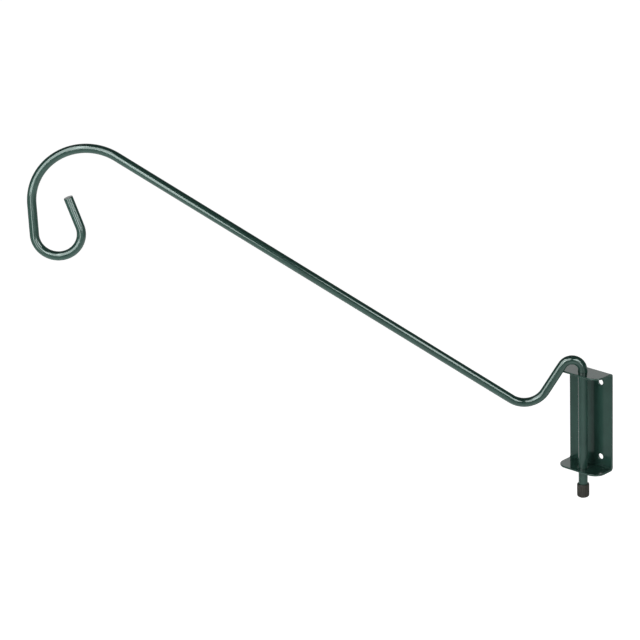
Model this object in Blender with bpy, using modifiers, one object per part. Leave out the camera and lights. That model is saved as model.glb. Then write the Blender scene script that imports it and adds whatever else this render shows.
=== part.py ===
"""Bird feeder hook for a wall or post.

A folded sheet steel bracket is screwed to the wall. A bent round steel rod stands in its two flanges and
swings about its upright leg. A ribbed rubber cap on the foot of the leg keeps the rod from lifting out.
The origin is the middle of the bracket's back face, which lies on the wall. +Y points into the wall and
+Z points up, so the hook stands out towards -Y. Lengths are in metres.
"""

import math

import bmesh
import bpy
from mathutils import Matrix

ROD_DIAMETER = 0.0127

PLATE_WIDTH = 0.073
BRACKET_HEIGHT = 0.143
SHEET_THICKNESS = 0.0024
FOLD_INSIDE_RADIUS = 0.002
FLANGE_DEPTH = 0.0345
FLANGE_CORNER_RADIUS = 0.016
SWIVEL_OFFSET = 0.0194
ROD_HOLE_CLEARANCE = 0.0003
SCREW_HOLE_DIAMETER = 0.008
SCREW_SIDE_DISTANCE = 0.0194
SCREW_END_DISTANCE = 0.0169

BEND_START_HEIGHT = 0.0024
SWIVEL_LIMIT_DEGREES = 49.0
LIMIT_CLEARANCE = 0.0006
TOP_BEND_DEGREES = 148.0
DROP_LENGTH = 0.0445
DIP_BEND_RADIUS = 0.0325
DIP_BEND_DEGREES = 93.0
RUN_LENGTH = 0.629
CROOK_RADIUS = 0.074
CROOK_DEGREES = 125.7
DOWN_LENGTH = 0.043
CURL_RADIUS = 0.0313
CURL_DEGREES = 197.0
TIP_LENGTH = 0.043
REST_SWIVEL_DEGREES = 47.0

LIFT_TRAVEL = 0.0215
LIFT_STOP_GAP = 0.0005
CAP_WALL = 0.00195
CAP_HEIGHT = 0.0195
CAP_FLOOR = 0.003
CAP_BORE_CLEARANCE = 0.00025
CAP_CHAMFER = 0.0014
CAP_FOOT_RADIUS = 0.003
RIB_DEPTH = 0.0005
RIB_COUNT = 20
STEPS_PER_RIB = 4

CUT_OVERRUN = 0.005
ROUND_SEGMENTS = 40
ROD_BEVEL_RESOLUTION = 8
SMALL_BEND_STEP_DEGREES = 8.0
LARGE_BEND_STEP_DEGREES = 5.0
CORNER_STEP_DEGREES = 9.0
MERGE_DISTANCE = 0.000001

PAINT_COLOUR = (0.030, 0.075, 0.060, 1.0)
RUBBER_COLOUR = (0.040, 0.036, 0.031, 1.0)

ROD_RADIUS = ROD_DIAMETER / 2
HALF_WIDTH = PLATE_WIDTH / 2
HALF_HEIGHT = BRACKET_HEIGHT / 2
CAP_RADIUS = ROD_RADIUS + CAP_BORE_CLEARANCE + CAP_WALL
CAP_TOP = -HALF_HEIGHT - LIFT_TRAVEL - LIFT_STOP_GAP
CAP_BASE = CAP_TOP - CAP_HEIGHT
ROD_FOOT = CAP_BASE + CAP_FLOOR + CAP_BORE_CLEARANCE


def clear_scene():
    for old in list(bpy.data.objects):
        bpy.data.objects.remove(old, do_unlink=True)


def new_collection(name):
    collection = bpy.data.collections.new(name)
    bpy.context.scene.collection.children.link(collection)
    return collection


def new_material(name, colour, roughness):
    material = bpy.data.materials.new(name)
    material.use_nodes = True
    shader = material.node_tree.nodes["Principled BSDF"]
    shader.inputs["Base Color"].default_value = colour
    shader.inputs["Roughness"].default_value = roughness
    shader.inputs["Metallic"].default_value = 0.0
    material.diffuse_color = colour
    return material


def arc_points(centre, radius, first_degrees, last_degrees):
    """Points on an arc of a flat outline, both ends included."""
    steps = max(2, math.ceil(abs(last_degrees - first_degrees) / CORNER_STEP_DEGREES))
    points = []
    for i in range(steps + 1):
        angle = math.radians(first_degrees + (last_degrees - first_degrees) * i / steps)
        points.append((centre[0] + radius * math.cos(angle), centre[1] + radius * math.sin(angle)))
    return points


def new_curve(name, points, cyclic, collection):
    """A curve object of one POLY spline through (x, y, z) points."""
    curve = bpy.data.curves.new(name, "CURVE")
    spline = curve.splines.new("POLY")
    spline.points.add(len(points) - 1)
    for place, point in zip(spline.points, points):
        place.co = (*point, 1.0)
    spline.use_cyclic_u = cyclic
    guide = bpy.data.objects.new(name, curve)
    collection.objects.link(guide)
    return guide


def meshed(guide, name, frame, collection):
    """A welded mesh object made from a curve, which is removed. frame places the mesh in the model."""
    bpy.context.view_layer.update()
    graph = bpy.context.evaluated_depsgraph_get()
    mesh = bpy.data.meshes.new_from_object(guide.evaluated_get(graph))
    bpy.data.objects.remove(guide, do_unlink=True)
    mesh.name = name
    shape = bmesh.new()
    shape.from_mesh(mesh)
    bmesh.ops.remove_doubles(shape, verts=shape.verts, dist=MERGE_DISTANCE)
    bmesh.ops.transform(shape, matrix=frame, verts=shape.verts)
    bmesh.ops.recalc_face_normals(shape, faces=shape.faces)
    shape.to_mesh(mesh)
    shape.free()
    obj = bpy.data.objects.new(name, mesh)
    collection.objects.link(obj)
    return obj


def prism(name, outline, half_depth, frame, collection):
    """A closed flat outline with a thickness of twice half_depth, centred on frame's XY plane."""
    guide = new_curve(name + "_outline", [(x, y, 0.0) for x, y in outline], True, collection)
    guide.data.dimensions = "2D"
    guide.data.fill_mode = "BOTH"
    guide.data.extrude = half_depth
    return meshed(guide, name, frame, collection)


def cylinder(name, radius, length, frame, collection):
    """A cylinder along frame's Z axis, centred on its origin."""
    shape = bmesh.new()
    bmesh.ops.create_cone(
        shape,
        cap_ends=True,
        segments=ROUND_SEGMENTS,
        radius1=radius,
        radius2=radius,
        depth=length,
        matrix=frame,
    )
    mesh = bpy.data.meshes.new(name)
    shape.to_mesh(mesh)
    shape.free()
    obj = bpy.data.objects.new(name, mesh)
    collection.objects.link(obj)
    return obj


def combine(obj, operation, cutter):
    """Adds a Boolean with a helper solid, which is kept out of renders."""
    cutter.hide_render = True
    cutter.display_type = "WIRE"
    modifier = obj.modifiers.new(cutter.name, "BOOLEAN")
    modifier.operation = operation
    modifier.solver = "EXACT"
    modifier.object = cutter


def finish(obj, material, crease_degrees):
    obj.data.materials.clear()
    obj.data.materials.append(material)
    obj.data.shade_smooth()
    obj.data.set_sharp_from_angle(angle=math.radians(crease_degrees))


def channel_outline():
    """The folded sheet seen from its side, as (y, z): a back between an upper and a lower flange."""
    front = -FLANGE_DEPTH - CUT_OVERRUN
    outside = FOLD_INSIDE_RADIUS + SHEET_THICKNESS
    fold_z = HALF_HEIGHT - outside
    outer = [(front, HALF_HEIGHT)]
    outer += arc_points((-outside, fold_z), outside, 90.0, 0.0)
    outer += arc_points((-outside, -fold_z), outside, 0.0, -90.0)
    outer += [(front, -HALF_HEIGHT)]
    inner = [(front, SHEET_THICKNESS - HALF_HEIGHT)]
    inner += arc_points((-outside, -fold_z), FOLD_INSIDE_RADIUS, -90.0, 0.0)
    inner += arc_points((-outside, fold_z), FOLD_INSIDE_RADIUS, 0.0, 90.0)
    inner += [(front, HALF_HEIGHT - SHEET_THICKNESS)]
    return outer + inner


def flange_outline():
    """The bracket seen from above, as (x, y): square at the wall, with rounded front corners."""
    corner_x = HALF_WIDTH - FLANGE_CORNER_RADIUS
    corner_y = FLANGE_CORNER_RADIUS - FLANGE_DEPTH
    points = [(HALF_WIDTH, CUT_OVERRUN), (-HALF_WIDTH, CUT_OVERRUN)]
    points += arc_points((-corner_x, corner_y), FLANGE_CORNER_RADIUS, 180.0, 270.0)
    points += arc_points((corner_x, corner_y), FLANGE_CORNER_RADIUS, 270.0, 360.0)
    return points


def make_bracket(material, parts, cutters):
    """One strip of sheet steel, folded at both ends, with two rod holes and four screw holes."""
    side_view = Matrix(((0, 0, 1, 0), (1, 0, 0, 0), (0, 1, 0, 0), (0, 0, 0, 1)))
    bracket = prism("bracket", channel_outline(), HALF_WIDTH + CUT_OVERRUN, side_view, parts)

    plan = prism("bracket_plan", flange_outline(), HALF_HEIGHT + CUT_OVERRUN, Matrix.Identity(4), cutters)
    combine(bracket, "INTERSECT", plan)

    rod_hole = cylinder(
        "rod_holes",
        ROD_RADIUS + ROD_HOLE_CLEARANCE,
        BRACKET_HEIGHT + 2 * CUT_OVERRUN,
        Matrix.Translation((0.0, -SWIVEL_OFFSET, 0.0)),
        cutters,
    )
    combine(bracket, "DIFFERENCE", rod_hole)

    screw_x = HALF_WIDTH - SCREW_SIDE_DISTANCE
    screw_z = HALF_HEIGHT - SCREW_END_DISTANCE
    along_y = Matrix.Rotation(math.radians(90.0), 4, "X")
    for z_name, z in (("upper", screw_z), ("lower", -screw_z)):
        for x_name, x in (("left", -screw_x), ("right", screw_x)):
            screw_hole = cylinder(
                f"screw_hole_{z_name}_{x_name}",
                SCREW_HOLE_DIAMETER / 2,
                2 * (SHEET_THICKNESS + CUT_OVERRUN),
                Matrix.Translation((x, 0.0, z)) @ along_y,
                cutters,
            )
            combine(bracket, "DIFFERENCE", screw_hole)
    finish(bracket, material, 30.0)
    return bracket


def top_bend_radius():
    """The rod's tight bend over the bracket, just wide enough for its falling side to pass the flange.

    Seen from above at the swivel's limit, the falling side clears the flange's corner arc. The corner's
    centre lies along and across the arm's direction from the swivel axis. The slanted rod cuts the
    flange's upper face in an ellipse, whose reach towards the corner is its half width there.
    """
    limit = math.radians(SWIVEL_LIMIT_DEGREES)
    turn = math.radians(TOP_BEND_DEGREES)
    corner_side = HALF_WIDTH - FLANGE_CORNER_RADIUS
    corner_front = FLANGE_DEPTH - FLANGE_CORNER_RADIUS - SWIVEL_OFFSET
    along = corner_side * math.sin(limit) + corner_front * math.cos(limit)
    across = corner_side * math.cos(limit) - corner_front * math.sin(limit)
    bearing = math.asin(across / (FLANGE_CORNER_RADIUS + ROD_RADIUS))
    rod_reach = ROD_RADIUS * math.hypot(math.cos(bearing) / math.cos(turn), math.sin(bearing))
    apart = FLANGE_CORNER_RADIUS + rod_reach + LIMIT_CLEARANCE
    crossing = along + math.sqrt(apart**2 - across**2)
    reach_per_radius = 1 - math.cos(turn) - math.sin(turn) ** 2 / math.cos(turn)
    return (crossing + BEND_START_HEIGHT * math.tan(turn)) / reach_per_radius


def arm_path():
    """The rod's centreline as (outward, up) from the swivel axis, foot to tip.

    Each piece is a straight length or an arc of a radius and a turn. A positive turn leans the rod
    outward and over, and the heading is measured from straight up.
    """
    small = SMALL_BEND_STEP_DEGREES
    large = LARGE_BEND_STEP_DEGREES
    pieces = (
        (top_bend_radius(), TOP_BEND_DEGREES, small, DROP_LENGTH),
        (DIP_BEND_RADIUS, -DIP_BEND_DEGREES, small, RUN_LENGTH),
        (CROOK_RADIUS, CROOK_DEGREES, large, DOWN_LENGTH),
        (CURL_RADIUS, CURL_DEGREES, small, TIP_LENGTH),
    )
    out, up, heading = 0.0, HALF_HEIGHT + BEND_START_HEIGHT, 0.0
    points = [(out, ROD_FOOT), (out, up)]
    for radius, turn_degrees, step_degrees, straight in pieces:
        steps = math.ceil(abs(turn_degrees) / step_degrees)
        turn = math.radians(turn_degrees) / steps
        chord = 2 * radius * math.sin(abs(turn) / 2)
        for _ in range(steps):
            out += chord * math.sin(heading + turn / 2)
            up += chord * math.cos(heading + turn / 2)
            heading += turn
            points.append((out, up))
        out += straight * math.sin(heading)
        up += straight * math.cos(heading)
        points.append((out, up))
    return points


def make_hook_arm(material, swivel_axis, parts):
    """One bent round rod: upright leg, tight top bend, dip, long rising run, wide crook and small curl."""
    arm = new_curve("hook_arm", [(out, 0.0, up) for out, up in arm_path()], False, parts)
    arm.data.dimensions = "3D"
    arm.data.bevel_depth = ROD_RADIUS
    arm.data.bevel_resolution = ROD_BEVEL_RESOLUTION
    arm.data.use_fill_caps = True
    arm.data.materials.append(material)
    arm.parent = swivel_axis
    return arm


def rib_outline():
    """The cap's ribbed girth as (x, y): a circle whose radius waves down by RIB_DEPTH between the ribs."""
    count = RIB_COUNT * STEPS_PER_RIB
    points = []
    for i in range(count):
        angle = 2 * math.pi * i / count
        radius = CAP_RADIUS - RIB_DEPTH * (1 - math.cos(RIB_COUNT * angle)) / 2
        points.append((radius * math.cos(angle), radius * math.sin(angle)))
    return points


def turned_solid(name, profile, collection):
    """A closed solid of revolution about Z from an (r, z) profile that starts and ends on the axis."""
    mesh = bpy.data.meshes.new(name)
    edges = [(i, i + 1) for i in range(len(profile) - 1)]
    mesh.from_pydata([(r, 0.0, z) for r, z in profile], edges, [])
    obj = bpy.data.objects.new(name, mesh)
    collection.objects.link(obj)
    screw = obj.modifiers.new("turn", "SCREW")
    screw.axis = "Z"
    screw.steps = ROUND_SEGMENTS
    screw.render_steps = ROUND_SEGMENTS
    screw.use_merge_vertices = True
    screw.merge_threshold = MERGE_DISTANCE
    return obj


def make_end_cap(material, swivel_axis, parts, cutters):
    """A ribbed rubber cup pushed on the rod's foot, chamfered at its mouth and rounded below."""
    middle = (CAP_TOP + CAP_BASE) / 2
    cap = prism("end_cap", rib_outline(), CAP_HEIGHT / 2 + CUT_OVERRUN, Matrix.Identity(4), parts)
    cap.location = (0.0, 0.0, middle)
    cap.parent = swivel_axis

    profile = [(0.0, CAP_TOP), (CAP_RADIUS - CAP_CHAMFER, CAP_TOP), (CAP_RADIUS, CAP_TOP - CAP_CHAMFER)]
    foot_centre = (CAP_RADIUS - CAP_FOOT_RADIUS, CAP_BASE + CAP_FOOT_RADIUS)
    profile += arc_points(foot_centre, CAP_FOOT_RADIUS, 0.0, -90.0)
    profile += [(0.0, CAP_BASE)]
    envelope = turned_solid("cap_envelope", profile, cutters)
    envelope.parent = swivel_axis
    combine(cap, "INTERSECT", envelope)

    bore_floor = CAP_BASE + CAP_FLOOR
    bore_top = CAP_TOP + CUT_OVERRUN
    bore = cylinder(
        "cap_bore",
        ROD_RADIUS + CAP_BORE_CLEARANCE,
        bore_top - bore_floor,
        Matrix.Translation((0.0, 0.0, (bore_top + bore_floor) / 2)),
        cutters,
    )
    bore.parent = swivel_axis
    combine(cap, "DIFFERENCE", bore)
    finish(cap, material, 40.0)
    return cap


def make_swivel_axis(parts):
    """The upright line that the rod turns about. Its X axis points the way the arm points at rest."""
    axis = bpy.data.objects.new("swivel_axis", None)
    parts.objects.link(axis)
    axis.location = (0.0, -SWIVEL_OFFSET, 0.0)
    axis.rotation_euler = (0.0, 0.0, math.radians(-90.0 - REST_SWIVEL_DEGREES))
    return axis


def main():
    clear_scene()
    parts = new_collection("bird_feeder_hook")
    cutters = new_collection("cutters")
    paint = new_material("green_enamel", PAINT_COLOUR, 0.25)
    rod_paint = new_material("green_enamel_rod", PAINT_COLOUR, 0.20)
    rubber = new_material("cap_rubber", RUBBER_COLOUR, 0.6)
    swivel_axis = make_swivel_axis(parts)
    make_bracket(paint, parts, cutters)
    make_hook_arm(rod_paint, swivel_axis, parts)
    make_end_cap(rubber, swivel_axis, parts, cutters)


main()
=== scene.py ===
import math

import bmesh
import bpy
import numpy as np
from mathutils import Matrix, Vector


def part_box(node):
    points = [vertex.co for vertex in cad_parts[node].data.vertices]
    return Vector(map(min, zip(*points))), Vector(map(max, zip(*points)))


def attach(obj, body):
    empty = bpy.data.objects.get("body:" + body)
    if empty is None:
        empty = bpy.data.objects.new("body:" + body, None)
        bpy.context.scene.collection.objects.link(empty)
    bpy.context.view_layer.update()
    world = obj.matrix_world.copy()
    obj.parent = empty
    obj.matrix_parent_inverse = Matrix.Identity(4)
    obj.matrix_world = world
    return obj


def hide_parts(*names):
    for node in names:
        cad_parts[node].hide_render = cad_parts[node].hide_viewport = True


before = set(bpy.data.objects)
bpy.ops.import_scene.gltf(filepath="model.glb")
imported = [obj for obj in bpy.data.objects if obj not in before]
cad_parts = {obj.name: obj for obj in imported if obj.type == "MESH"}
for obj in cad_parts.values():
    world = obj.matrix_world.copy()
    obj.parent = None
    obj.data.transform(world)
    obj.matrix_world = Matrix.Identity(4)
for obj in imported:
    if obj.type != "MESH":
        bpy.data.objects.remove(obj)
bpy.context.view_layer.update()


# The hook arm
# One hot-rolled round steel bar, bent cold on formers: an upright leg, a tight bend over the bracket, a dip,
# a long rising run, a wide crook and a small curl with a square-cut tip. Dipped and baked in glossy enamel.

arm_low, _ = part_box("hook_arm")

BAR_RADIUS = 0.00635
SWIVEL_Y = -0.0194
REST_SWIVEL = math.radians(47.0)
LEG_TOP = 0.0739
# Each bend's radius, its turn in degrees and the straight length after it, from the bracket to the tip
BENDS = (
    (0.01485, 148.0, 0.0445),
    (0.0325, -93.0, 0.629),
    (0.074, 125.7, 0.043),
    (0.0313, 197.0, 0.043),
)
STRAIGHT_STEP = 0.006
BEND_STEP = math.radians(2.0)
BAR_POINTS = 56
BEND_FLATTENING = 0.055
BEND_FADE = 0.006
CUT_EDGE_RADIUS = 0.0007
CUT_EDGE_RINGS = 5
BAR_CREASE_DEGREES = 50.0
OUTWARD = np.array([-math.sin(REST_SWIVEL), -math.cos(REST_SWIVEL), 0.0])
LEVEL = np.array([math.cos(REST_SWIVEL), -math.sin(REST_SWIVEL), 0.0])
UPWARD = np.array([0.0, 0.0, 1.0])


def bar_centreline(foot, leg_top, bends):
    """Centreline of a bar bent in one upright plane, as rows of (outward, up, heading, curvature).

    A straight adds its length times (sin heading, cos heading). An arc keeps one radius from a centre on the
    side that it turns to, while its heading grows evenly.
    """
    steps = max(2, round((leg_top - foot) / STRAIGHT_STEP))
    rise = np.linspace(foot, leg_top, steps + 1)
    rows = [np.column_stack([0 * rise, rise, 0 * rise, 0 * rise])]
    place, heading = np.array([0.0, leg_top]), 0.0
    for radius, turn_degrees, straight in bends:
        turn = math.radians(turn_degrees)
        side = math.copysign(radius, turn)
        centre = place + side * np.array([math.cos(heading), -math.sin(heading)])
        steps = math.ceil(abs(turn) / BEND_STEP)
        angle = heading + turn * np.arange(1, steps + 1) / steps
        arc = centre - side * np.column_stack([np.cos(angle), -np.sin(angle)])
        rows.append(np.column_stack([arc, angle, np.full(steps, 1 / radius)]))
        heading += turn
        steps = max(2, round(straight / STRAIGHT_STEP))
        reach = straight * np.arange(1, steps + 1)[:, None] / steps
        line = arc[-1] + reach * np.array([math.sin(heading), math.cos(heading)])
        rows.append(np.column_stack([line, np.full(steps, heading), np.zeros(steps)]))
        place = line[-1]
    return np.vstack(rows)


def faded(values, along, reach):
    """Values averaged along the bar under a tent-shaped weight of the given reach."""
    weight = np.maximum(0, 1 - np.abs(along[:, None] - along[None, :]) / reach) * np.gradient(along)
    return weight @ values / weight.sum(axis=1)


def bar_rings(line, radius):
    """Rings of a round bar along its centreline, shaped (ring, point, 3).

    A point is centre + girth * (cos a * (1 - flat) * side + sin a * (1 + flat) * level). Side lies in the
    plane of the bends and level across it. Flat grows with the curvature, as a cold bend flattens a bar. At
    both ends the girth follows a quarter circle in to the cut face.
    """
    out, up, heading, curvature = line.T
    along = np.concatenate([[0], np.cumsum(np.hypot(np.diff(out), np.diff(up)))])
    flat = BEND_FLATTENING * radius * faded(curvature, along, BEND_FADE)
    centre = out[:, None] * OUTWARD + up[:, None] * UPWARD + np.array([0.0, SWIVEL_Y, 0.0])
    side = np.cos(heading)[:, None] * OUTWARD - np.sin(heading)[:, None] * UPWARD
    ahead = np.sin(heading)[:, None] * OUTWARD + np.cos(heading)[:, None] * UPWARD

    quarter = np.linspace(0, math.pi / 2, CUT_EDGE_RINGS)
    inset = CUT_EDGE_RADIUS * (1 - np.cos(quarter))[:, None]
    girth = radius - CUT_EDGE_RADIUS * (1 - np.sin(quarter))
    last = len(out) - 1
    pick = np.concatenate([np.zeros_like(quarter), np.arange(1, last), np.full_like(quarter, last)])
    pick = pick.astype(int)
    ends = np.zeros((len(pick), 3))
    ends[:CUT_EDGE_RINGS] = inset * ahead[0]
    ends[-CUT_EDGE_RINGS:] = -inset[::-1] * ahead[last]
    girths = np.concatenate([girth, np.full(last - 1, radius), girth[::-1]])[:, None, None]

    angle = np.linspace(0, 2 * math.pi, BAR_POINTS, endpoint=False)[None, :, None]
    across = np.cos(angle) * (1 - flat[pick])[:, None, None] * side[pick][:, None, :]
    across = across + np.sin(angle) * (1 + flat[pick])[:, None, None] * LEVEL
    return (centre[pick] + ends)[:, None, :] + girths * across


def grid_quads(rows, columns, closed):
    """Corner numbers of the quads of a grid of points, which joins its last column to its first if closed."""
    row = np.arange(rows - 1)[:, None] * columns
    column = np.arange(columns if closed else columns - 1)[None, :]
    after = (column + 1) % columns
    corners = [row + column, row + after, row + columns + after, row + columns + column]
    return np.stack(corners, -1).reshape(-1, 4)


def closed_tube(name, rings):
    """A mesh from rings shaped (ring, point, 3), with a fan of triangles over each end."""
    count, around = rings.shape[:2]
    points = np.vstack([rings.reshape(-1, 3), rings[0].mean(axis=0), rings[-1].mean(axis=0)])
    rim = np.arange(around)
    after = (rim + 1) % around
    top = (count - 1) * around
    first_fan = np.column_stack([after, rim, np.full(around, count * around)])
    last_fan = np.column_stack([top + rim, top + after, np.full(around, count * around + 1)])
    faces = grid_quads(count, around, True).tolist() + first_fan.tolist() + last_fan.tolist()
    mesh = bpy.data.meshes.new(name)
    mesh.from_pydata(points.tolist(), [], faces)
    return mesh


def new_piece(name, mesh, crease_degrees):
    """An object at the origin, its faces turned outwards and smooth but for edges past the crease."""
    shape = bmesh.new()
    shape.from_mesh(mesh)
    bmesh.ops.recalc_face_normals(shape, faces=shape.faces)
    shape.to_mesh(mesh)
    shape.free()
    mesh.shade_smooth()
    mesh.set_sharp_from_angle(angle=math.radians(crease_degrees))
    piece = bpy.data.objects.new(name, mesh)
    bpy.context.scene.collection.objects.link(piece)
    return piece


def new_material(name):
    """An empty node material, its nodes, its links and its Principled shader."""
    material = bpy.data.materials.new(name)
    material.use_nodes = True
    tree = material.node_tree
    return material, tree.nodes, tree.links, tree.nodes["Principled BSDF"]


def noise(nodes, links, place, size, detail):
    """A noise texture in object coordinates whose blotches are about size metres across."""
    texture = nodes.new("ShaderNodeTexNoise")
    texture.inputs["Scale"].default_value = 1 / size
    texture.inputs["Detail"].default_value = detail
    links.new(place, texture.inputs["Vector"])
    return texture.outputs["Fac"]


# Most of a noise texture's values lie between these two
NOISE_MIDDLE = (0.3, 0.7)


def spread(nodes, links, source, low, high):
    """A value that runs from low to high over the middle of a noise texture's range."""
    remap = nodes.new("ShaderNodeMapRange")
    remap.inputs["From Min"].default_value = NOISE_MIDDLE[0]
    remap.inputs["From Max"].default_value = NOISE_MIDDLE[1]
    remap.inputs["To Min"].default_value = low
    remap.inputs["To Max"].default_value = high
    links.new(source, remap.inputs["Value"])
    return remap.outputs["Result"]


def mottled_colour(nodes, links, shader, pattern, colour, shades):
    """The shader's colour runs from the first shade of the colour to the second, as the pattern goes."""
    mix = nodes.new("ShaderNodeMix")
    mix.data_type = "RGBA"
    mix.inputs["A"].default_value = (*[shades[0] * c for c in colour], 1.0)
    mix.inputs["B"].default_value = (*[shades[1] * c for c in colour], 1.0)
    links.new(spread(nodes, links, pattern, 0.0, 1.0), mix.inputs["Factor"])
    links.new(mix.outputs["Result"], shader.inputs["Base Color"])


def raised_skin(nodes, links, shader, pattern, height, strength):
    """A fine relief on the surface, as high as given in metres where the pattern is high."""
    bump = nodes.new("ShaderNodeBump")
    bump.inputs["Distance"].default_value = height
    bump.inputs["Strength"].default_value = strength
    links.new(pattern, bump.inputs["Height"])
    links.new(bump.outputs["Normal"], shader.inputs["Normal"])


ENAMEL_GREEN = (0.026, 0.069, 0.055)
ENAMEL_SHEEN = (0.86, 1.0, 0.96, 1.0)
ENAMEL_IOR = 1.55
# The size of each pattern's blotches in metres, and its detail
CLOUDS = (0.03, 4)
HAZE = (0.008, 3)
PEEL = (0.0016, 1)
CLOUD_SHADES = (0.88, 1.12)
HAZE_SHARES = (0.85, 1.15)
PEEL_HEIGHT = 0.0000015
PEEL_STRENGTH = 0.6
ROD_ROUGHNESS = 0.12


def glossy_enamel(name, roughness):
    """Baked enamel: an even green with slight clouding, and a shiny skin with a fine orange peel."""
    material, nodes, links, shader = new_material(name)
    place = nodes.new("ShaderNodeTexCoord").outputs["Object"]
    clouds = noise(nodes, links, place, *CLOUDS)
    mottled_colour(nodes, links, shader, clouds, ENAMEL_GREEN, CLOUD_SHADES)
    haze = noise(nodes, links, place, *HAZE)
    dullness = spread(nodes, links, haze, HAZE_SHARES[0] * roughness, HAZE_SHARES[1] * roughness)
    links.new(dullness, shader.inputs["Roughness"])
    peel = noise(nodes, links, place, *PEEL)
    raised_skin(nodes, links, shader, peel, PEEL_HEIGHT, PEEL_STRENGTH)
    shader.inputs["IOR"].default_value = ENAMEL_IOR
    shader.inputs["Specular Tint"].default_value = ENAMEL_SHEEN
    return material


arm_line = bar_centreline(arm_low.z, LEG_TOP, BENDS)
bar_mesh = closed_tube("bent_bar", bar_rings(arm_line, BAR_RADIUS))
bent_bar = new_piece("bent_bar", bar_mesh, BAR_CREASE_DEGREES)
bent_bar.data.materials.append(glossy_enamel("rod_enamel", ROD_ROUGHNESS))
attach(bent_bar, "hook_arm")
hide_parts("hook_arm")


# The bracket
# One strip of sheet steel, punched flat with four screw holes and two rod holes, its ends cut to round
# corners, then folded at both ends in a press. The same enamel covers it, softening every sheared edge.

bracket_low, bracket_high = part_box("bracket")

SHEET = 0.0024
FOLD_RADIUS = 0.002
CORNER_RADIUS = 0.016
ROD_PLAY = 0.0003
ROD_HOLE_RADIUS = BAR_RADIUS + ROD_PLAY
SCREW_HOLE_RADIUS = 0.004
SCREW_HOLE_X = 0.0171
SCREW_HOLE_Z = 0.0546
SCREW_CELL_HALF = 0.0125
EDGE_BAND = 0.0009
SHEARED_EDGE = 0.00045
SHEARED_EDGE_SEGMENTS = 4
SHARP_EDGE_DEGREES = 60.0
MERGE_DISTANCE = 0.000002
BRACKET_ROUGHNESS = 0.10
HALF_WIDTH = bracket_high.x
FOLD_START = bracket_high.z - FOLD_RADIUS - SHEET
FOLD_LENGTH = (FOLD_RADIUS + SHEET / 2) * math.pi / 2
FLANGE_START = FOLD_START + FOLD_LENGTH
FLANGE_LENGTH = -bracket_low.y - FOLD_RADIUS - SHEET
FLANGE_END = FLANGE_START + FLANGE_LENGTH
ROD_HOLE_V = FLANGE_START - SWIVEL_Y - FOLD_RADIUS - SHEET
# How finely each stretch of the blank is divided
PATCH_SHARES = (0.0, 0.09, 0.35, 0.65, 0.92, 1.0)
HALF_COLUMNS = 15
MIDDLE_ROWS = 25
FOLD_ROWS = 13
FLANGE_SIDE_STEPS = 8
FLANGE_FRONT_STEPS = 20
CORNER_STEPS = 20
SCREW_CELL_STEPS = 14


def between(start, end, steps):
    """Evenly spaced points from start up to, but not including, end."""
    return np.asarray(start) + (np.asarray(end) - np.asarray(start)) * np.arange(steps)[:, None] / steps


def quarter_arc(centre, radius, first_degrees, steps):
    """Points on a quarter circle, anticlockwise from first_degrees, its end left out."""
    angle = np.radians(first_degrees + 90.0 * np.arange(steps) / steps)
    return np.asarray(centre) + radius * np.column_stack([np.cos(angle), np.sin(angle)])


def punched_patch(outline, centre, radius):
    """Grid between a round hole and an outline round it: hole + share * (outline - hole), point by point.

    Each hole point lies in the direction of its outline point, seen from the hole's centre.
    """
    outward = outline - centre
    rim = centre + radius * outward / np.linalg.norm(outward, axis=1)[:, None]
    shares = np.array(PATCH_SHARES)[:, None, None]
    points = rim + shares * (outline - rim)
    return points.reshape(-1, 2), grid_quads(len(PATCH_SHARES), len(outline), True)


def level_patch(columns, rows):
    """A plain grid of points at the given columns and rows."""
    x, v = np.meshgrid(columns, rows)
    return np.column_stack([x.ravel(), v.ravel()]), grid_quads(len(rows), len(columns), False)


def flange_patch(columns):
    """A flange in the flat: its rod hole inside an outline with two rounded corners."""
    corner = HALF_WIDTH - CORNER_RADIUS
    round_start = FLANGE_END - CORNER_RADIUS
    outline = np.vstack([
        np.column_stack([columns[:-1], np.full(len(columns) - 1, FLANGE_START)]),
        between((HALF_WIDTH, FLANGE_START), (HALF_WIDTH, round_start), FLANGE_SIDE_STEPS),
        quarter_arc((corner, round_start), CORNER_RADIUS, 0.0, CORNER_STEPS),
        between((corner, FLANGE_END), (-corner, FLANGE_END), FLANGE_FRONT_STEPS),
        quarter_arc((-corner, round_start), CORNER_RADIUS, 90.0, CORNER_STEPS),
        between((-HALF_WIDTH, round_start), (-HALF_WIDTH, FLANGE_START), FLANGE_SIDE_STEPS),
    ])
    return punched_patch(outline, np.array([0.0, ROD_HOLE_V]), ROD_HOLE_RADIUS)


def screw_patch(columns):
    """The plate round the right upper screw hole, from the middle line out to the plate's edge."""
    low, high = SCREW_HOLE_Z - SCREW_CELL_HALF, FOLD_START
    outline = np.vstack([
        np.column_stack([columns[:-1], np.full(len(columns) - 1, low)]),
        between((HALF_WIDTH, low), (HALF_WIDTH, high), SCREW_CELL_STEPS),
        np.column_stack([columns[:0:-1], np.full(len(columns) - 1, high)]),
        between((0.0, high), (0.0, low), SCREW_CELL_STEPS),
    ])
    return punched_patch(outline, np.array([SCREW_HOLE_X, SCREW_HOLE_Z]), SCREW_HOLE_RADIUS)


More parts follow.
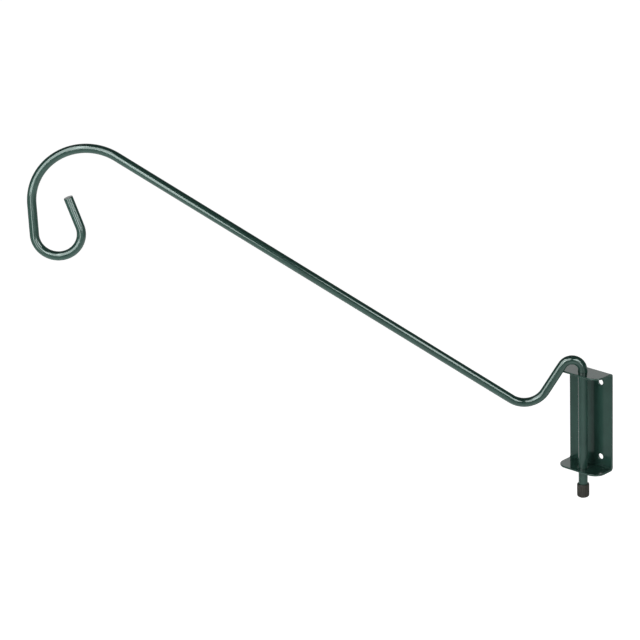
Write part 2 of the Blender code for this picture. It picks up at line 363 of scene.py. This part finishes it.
def flat_blank():
    """Points (x, v) and faces of the punched strip before it is folded, v running along the strip."""
    half = np.append(np.linspace(0, HALF_WIDTH - EDGE_BAND, HALF_COLUMNS), HALF_WIDTH)
    columns = np.concatenate([-half[:0:-1], half])
    middle = SCREW_HOLE_Z - SCREW_CELL_HALF
    patches = [level_patch(columns, np.linspace(-middle, middle, MIDDLE_ROWS))]
    fold_rows = np.linspace(FOLD_START, FLANGE_START, FOLD_ROWS)
    upper = [flange_patch(columns), level_patch(columns, fold_rows)]
    screw_points, screw_faces = screw_patch(half)
    upper += [(screw_points, screw_faces), (screw_points * (-1, 1), screw_faces)]
    patches += upper + [(points * (1, -1), faces) for points, faces in upper]
    starts = np.cumsum([0] + [len(points) for points, _ in patches])
    points = np.vstack([points for points, _ in patches])
    faces = np.vstack([faces + start for (_, faces), start in zip(patches, starts)])
    return points, faces


def folded(points):
    """Bends the flat strip's points (x, v, t) into the channel, t being the height over its middle layer.

    On the plate y = t - half the sheet and z = v. Past a fold's start the point goes round the fold's centre
    by the angle (|v| - start) / middle radius, at the middle radius plus t, up to a quarter turn. The rest of
    |v| runs straight out along the flange.
    """
    x, v, t = points.T
    middle = FOLD_RADIUS + SHEET / 2
    past = np.maximum(0, np.abs(v) - FOLD_START)
    angle = np.minimum(past, FOLD_LENGTH) / middle
    straight = np.maximum(0, past - FOLD_LENGTH)
    y = -FOLD_RADIUS - SHEET + (middle + t) * np.cos(angle) - straight
    z = np.minimum(np.abs(v), FOLD_START) + (middle + t) * np.sin(angle)
    return np.column_stack([x, y, np.sign(v) * z])


def folded_sheet(name):
    """The bracket's mesh: the blank given its thickness and softened edges, then folded."""
    points, faces = flat_blank()
    blank = bpy.data.meshes.new(name)
    blank.from_pydata(np.column_stack([points, 0 * points[:, 0]]).tolist(), [], faces.tolist())
    shape = bmesh.new()
    shape.from_mesh(blank)
    bmesh.ops.remove_doubles(shape, verts=shape.verts, dist=MERGE_DISTANCE)
    bmesh.ops.recalc_face_normals(shape, faces=shape.faces)
    shape.to_mesh(blank)
    shape.free()
    carrier = bpy.data.objects.new(name, blank)
    bpy.context.scene.collection.objects.link(carrier)
    thicken = carrier.modifiers.new("thickness", "SOLIDIFY")
    thicken.thickness = SHEET
    thicken.offset = 0.0
    soften = carrier.modifiers.new("softened_edges", "BEVEL")
    soften.width = SHEARED_EDGE
    soften.segments = SHEARED_EDGE_SEGMENTS
    soften.limit_method = "ANGLE"
    soften.angle_limit = math.radians(SHARP_EDGE_DEGREES)
    bpy.context.view_layer.update()
    graph = bpy.context.evaluated_depsgraph_get()
    mesh = bpy.data.meshes.new_from_object(carrier.evaluated_get(graph))
    bpy.data.objects.remove(carrier, do_unlink=True)
    place = np.empty(len(mesh.vertices) * 3)
    mesh.vertices.foreach_get("co", place)
    mesh.vertices.foreach_set("co", folded(place.reshape(-1, 3)).ravel())
    mesh.update()
    return mesh


bracket_sheet = new_piece("folded_bracket", folded_sheet("folded_bracket"), SHARP_EDGE_DEGREES)
bracket_sheet.data.materials.append(glossy_enamel("bracket_enamel", BRACKET_ROUGHNESS))
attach(bracket_sheet, "bracket")
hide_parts("bracket")


# The end cap
# A rubber cup, moulded in a split tool with fine upright ribs for grip, and pushed on the leg's foot. Its
# mouth has a plain rounded lip that hugs the bar.

cap_low, cap_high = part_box("end_cap")

CAP_RADIUS = (cap_high.x - cap_low.x) / 2
CAP_RIBS = 20
RIB_HEIGHT = 0.0005
RIB_POINTS = 10
LIP_RADIUS = 0.0013
FOOT_RADIUS = 0.003
COLLAR = 0.0027
RIB_FADE = 0.0010
BORE_PLAY = 0.0001
BORE_RADIUS = BAR_RADIUS + BORE_PLAY
BORE_FLOOR_GAP = 0.00015
BORE_FLOOR = arm_low.z - BORE_FLOOR_GAP
CAP_CREASE_DEGREES = 50.0
# How finely each stretch of the cap's profile is divided
FOOT_STEPS = 10
SIDE_POINTS = 12
LIP_STEPS = 5
MOUTH_STEPS = 4


def arc_profile(centre_r, centre_z, radius, first_degrees, last_degrees, steps):
    """Points (r, z) on an arc of a turned profile, both ends included."""
    angle = np.radians(np.linspace(first_degrees, last_degrees, steps + 1))
    return np.column_stack([centre_r + radius * np.cos(angle), centre_z + radius * np.sin(angle)])


def cap_rings():
    """Rings of the cap from the flat of its base, up its side, over the lip and down its bore.

    A point's distance from the axis is the profile's r less a rib term: height * (1 - cos(ribs * a)) / 2,
    faded out under the lip and round the foot.
    """
    low, high = cap_low.z, cap_high.z
    side_heights = np.linspace(low + FOOT_RADIUS, high - LIP_RADIUS, SIDE_POINTS)
    side = np.column_stack([np.full(SIDE_POINTS, CAP_RADIUS), side_heights])
    mouth = LIP_RADIUS / 2
    profile = np.vstack([
        arc_profile(CAP_RADIUS - FOOT_RADIUS, low + FOOT_RADIUS, FOOT_RADIUS, -90.0, 0.0, FOOT_STEPS),
        side[1:-1],
        arc_profile(CAP_RADIUS - LIP_RADIUS, high - LIP_RADIUS, LIP_RADIUS, 0.0, 90.0, LIP_STEPS),
        arc_profile(BORE_RADIUS + mouth, high - mouth, mouth, 90.0, 180.0, MOUTH_STEPS),
        ((BORE_RADIUS, BORE_FLOOR),),
    ])
    r, z = profile.T
    under_lip = np.clip((high - COLLAR - z) / RIB_FADE, 0, 1)
    over_foot = np.clip((z - low) / FOOT_RADIUS, 0, 1)
    outside = np.arange(len(r)) < FOOT_STEPS + SIDE_POINTS
    depth = RIB_HEIGHT * under_lip * over_foot * outside
    angle = np.linspace(0, 2 * math.pi, CAP_RIBS * RIB_POINTS, endpoint=False)
    girth = r[:, None] - depth[:, None] * (1 - np.cos(CAP_RIBS * angle)) / 2
    height = np.broadcast_to(z[:, None], girth.shape)
    return np.stack([girth * np.cos(angle), girth * np.sin(angle) + SWIVEL_Y, height], -1)


RUBBER_BROWN = (0.033, 0.032, 0.026)
# The size of each pattern's blotches in metres, and its detail
BLOOM = (0.004, 5)
GRAIN = (0.0005, 2)
BLOOM_SHADES = (0.8, 1.25)
RUBBER_ROUGHNESS = (0.5, 0.7)
GRAIN_HEIGHT = 0.00004
GRAIN_STRENGTH = 0.5
RUBBER_SHINE = 0.2


def moulded_rubber(name):
    """Dull rubber with a faint bloom and a grainy skin."""
    material, nodes, links, shader = new_material(name)
    place = nodes.new("ShaderNodeTexCoord").outputs["Object"]
    bloom = noise(nodes, links, place, *BLOOM)
    mottled_colour(nodes, links, shader, bloom, RUBBER_BROWN, BLOOM_SHADES)
    links.new(spread(nodes, links, bloom, *RUBBER_ROUGHNESS), shader.inputs["Roughness"])
    grain = noise(nodes, links, place, *GRAIN)
    raised_skin(nodes, links, shader, grain, GRAIN_HEIGHT, GRAIN_STRENGTH)
    shader.inputs["Specular IOR Level"].default_value = RUBBER_SHINE
    return material


ribbed_cap = new_piece("ribbed_cap", closed_tube("ribbed_cap", cap_rings()), CAP_CREASE_DEGREES)
ribbed_cap.data.materials.append(moulded_rubber("cap_rubber"))
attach(ribbed_cap, "end_cap")
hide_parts("end_cap")


# The camera
# A long lens that looks down on the part from its right front, as in the photograph.

CAMERA_ELEVATION = math.radians(20.575)
CAMERA_AZIMUTH = math.radians(44.03)
CAMERA_ROLL = math.radians(-2.117)
FRAME_PIXELS = 640
FOCAL_PIXELS = 2986.4
METRES_PER_PIXEL = 0.00136559
ORIGIN_PIXEL = (591.81, 415.89)
SENSOR_MILLIMETRES = 36.0
FAR_CLIP = 100.0


def photo_camera():
    """The camera stands back along its line of sight until the part's origin falls on its pixel."""
    sin_a, cos_a = math.sin(CAMERA_AZIMUTH), math.cos(CAMERA_AZIMUTH)
    sin_e, cos_e = math.sin(CAMERA_ELEVATION), math.cos(CAMERA_ELEVATION)
    level = Vector((cos_a, sin_a, 0.0))
    look = Vector((-sin_a * cos_e, cos_a * cos_e, -sin_e))
    upright = level.cross(look)
    sin_r, cos_r = math.sin(CAMERA_ROLL), math.cos(CAMERA_ROLL)
    right = cos_r * level + sin_r * upright
    above = cos_r * upright - sin_r * level
    across = (ORIGIN_PIXEL[0] - FRAME_PIXELS / 2) * METRES_PER_PIXEL
    down = (ORIGIN_PIXEL[1] - FRAME_PIXELS / 2) * METRES_PER_PIXEL
    distance = FOCAL_PIXELS * METRES_PER_PIXEL
    place = down * above - across * right - distance * look
    data = bpy.data.cameras.new("camera")
    data.sensor_width = SENSOR_MILLIMETRES
    data.lens = FOCAL_PIXELS / FRAME_PIXELS * SENSOR_MILLIMETRES
    data.clip_end = FAR_CLIP
    camera = bpy.data.objects.new("camera", data)
    camera.matrix_world = Matrix((
        (right.x, above.x, -look.x, place.x),
        (right.y, above.y, -look.y, place.y),
        (right.z, above.z, -look.z, place.z),
        (0, 0, 0, 1),
    ))
    bpy.context.scene.collection.objects.link(camera)
    bpy.context.scene.camera = camera


photo_camera()


# The studio
# A strip of white paper runs under the part and up behind it, along the camera's line of sight, in a dark
# room. Six softboxes in front and to the right show in the gloss, and seven lamps all round give even light.

FLOOR_Z = -0.9
FLOOR_HALF = 30.0
PAPER_HALF_WIDTH = 1.36
PAPER_EDGE = 0.3
PAPER_GLOW = 0.68
ROOM_GLOW = 0.31
PAPER_WHITE = 0.8
WHITE_UP_TO = math.radians(31.0)
DARK_FROM = math.radians(37.0)
DARK_ROOM = 0.01
ARM_MIDDLE = (-0.25, -0.25, 0.20)
WHITE = (1.0, 1.0, 1.0, 1.0)
# Each lamp's place, its width and height, and how bright its face is, where white is 1
MIRRORED_LAMPS = {
    "front_softbox": ((-0.44, -1.12, 0.76), (0.64, 1.43), 7.6),
    "near_softbox": ((0.07, -0.79, 0.33), (0.30, 0.43), 7.6),
    "camera_softbox": ((0.33, -1.10, 1.01), (0.92, 1.13), 7.4),
    "right_softbox": ((0.63, -0.26, 0.47), (0.46, 0.42), 8.6),
    "low_softbox": ((1.49, -0.63, -0.01), (0.27, 0.33), 14.0),
    "crook_softbox": ((-0.15, -1.56, -0.09), (0.30, 0.45), 8.5),
}
EVEN_LAMPS = {
    "left_light": ((-0.85, -1.75, 0.00), (0.50, 0.90), 5.6),
    "front_light": ((-0.10, -1.80, 0.00), (0.60, 0.60), 1.0),
    "top_light": ((-0.20, -1.20, 1.00), (1.00, 1.00), 1.25),
    "under_light": ((-0.35, -1.00, -0.25), (0.60, 0.40), 2.1),
    "side_light": ((1.80, -0.10, 0.35), (0.60, 0.60), 9.0),
    "back_light": ((0.30, 1.50, 0.30), (1.00, 1.00), 3.0),
    "back_left_light": ((-1.50, 0.80, 0.40), (1.00, 1.00), 3.0),
}


def along_direction(nodes, links, place, direction):
    """How far a place or direction reaches along the given direction."""
    dot = nodes.new("ShaderNodeVectorMath")
    dot.operation = "DOT_PRODUCT"
    links.new(place, dot.inputs[0])
    dot.inputs[1].default_value = direction
    return dot.outputs["Value"]


def faded_glow(nodes, links, source, source_range, glow_range):
    """A glow that runs over glow_range while the source runs over source_range. The camera sees white."""
    remap = nodes.new("ShaderNodeMapRange")
    remap.inputs["From Min"].default_value, remap.inputs["From Max"].default_value = source_range
    remap.inputs["To Min"].default_value, remap.inputs["To Max"].default_value = glow_range
    links.new(source, remap.inputs["Value"])
    brighter = nodes.new("ShaderNodeMath")
    brighter.operation = "MAXIMUM"
    links.new(remap.outputs["Result"], brighter.inputs[0])
    links.new(nodes.new("ShaderNodeLightPath").outputs["Is Camera Ray"], brighter.inputs[1])
    return brighter.outputs[0]


def studio_floor():
    """A level floor with a softly glowing strip of paper. The camera sees all of it plain white."""
    mesh = bpy.data.meshes.new("floor")
    corners = np.array([(-1, -1), (1, -1), (1, 1), (-1, 1)]) * FLOOR_HALF
    mesh.from_pydata([(x, y, FLOOR_Z) for x, y in corners.tolist()], [], [(0, 1, 2, 3)])
    floor = bpy.data.objects.new("floor", mesh)
    bpy.context.scene.collection.objects.link(floor)
    material, nodes, links, shader = new_material("floor_paper")
    shader.inputs["Base Color"].default_value = (PAPER_WHITE, PAPER_WHITE, PAPER_WHITE, 1.0)
    shader.inputs["Roughness"].default_value = 1.0
    shader.inputs["Specular IOR Level"].default_value = 0.0
    shader.inputs["Emission Color"].default_value = WHITE
    place = nodes.new("ShaderNodeTexCoord").outputs["Object"]
    across = along_direction(nodes, links, place, (math.cos(CAMERA_AZIMUTH), math.sin(CAMERA_AZIMUTH), 0.0))
    aside = nodes.new("ShaderNodeMath")
    aside.operation = "ABSOLUTE"
    links.new(across, aside.inputs[0])
    edge = (PAPER_HALF_WIDTH, PAPER_HALF_WIDTH + PAPER_EDGE)
    glow = faded_glow(nodes, links, aside.outputs[0], edge, (PAPER_GLOW, ROOM_GLOW))
    links.new(glow, shader.inputs["Emission Strength"])
    mesh.materials.append(material)


def surroundings():
    """The white backdrop behind the part, which ends in a soft edge, and the dark room round it."""
    world = bpy.data.worlds.new("studio")
    world.use_nodes = True
    nodes, links = world.node_tree.nodes, world.node_tree.links
    direction = nodes.new("ShaderNodeTexCoord").outputs["Generated"]
    away_from_camera = (-math.sin(CAMERA_AZIMUTH), math.cos(CAMERA_AZIMUTH), 0.0)
    ahead = along_direction(nodes, links, direction, away_from_camera)
    edge = (math.cos(DARK_FROM), math.cos(WHITE_UP_TO))
    nodes["Background"].inputs["Color"].default_value = WHITE
    glow = faded_glow(nodes, links, ahead, edge, (DARK_ROOM, 1.0))
    links.new(glow, nodes["Background"].inputs["Strength"])
    bpy.context.scene.world = world


def soft_lamp(name, place, size, radiance, seen_in_gloss):
    """A rectangular lamp that faces the arm, which is seen in gloss or gives even light.

    Its power is radiance * pi * area.
    """
    data = bpy.data.lights.new(name, "AREA")
    data.shape = "RECTANGLE"
    data.size, data.size_y = size
    data.energy = radiance * math.pi * size[0] * size[1]
    lamp = bpy.data.objects.new(name, data)
    lamp.location = place
    lamp.rotation_euler = (Vector(place) - Vector(ARM_MIDDLE)).to_track_quat("Z", "Y").to_euler()
    lamp.visible_camera = False
    lamp.visible_glossy = seen_in_gloss
    lamp.visible_diffuse = not seen_in_gloss
    bpy.context.scene.collection.objects.link(lamp)


studio_floor()
surroundings()
for lamps, seen_in_gloss in ((MIRRORED_LAMPS, True), (EVEN_LAMPS, False)):
    for lamp_name, (lamp_place, lamp_size, lamp_radiance) in lamps.items():
        soft_lamp(lamp_name, lamp_place, lamp_size, lamp_radiance, seen_in_gloss)
bpy.context.scene.view_settings.view_transform = "Standard"
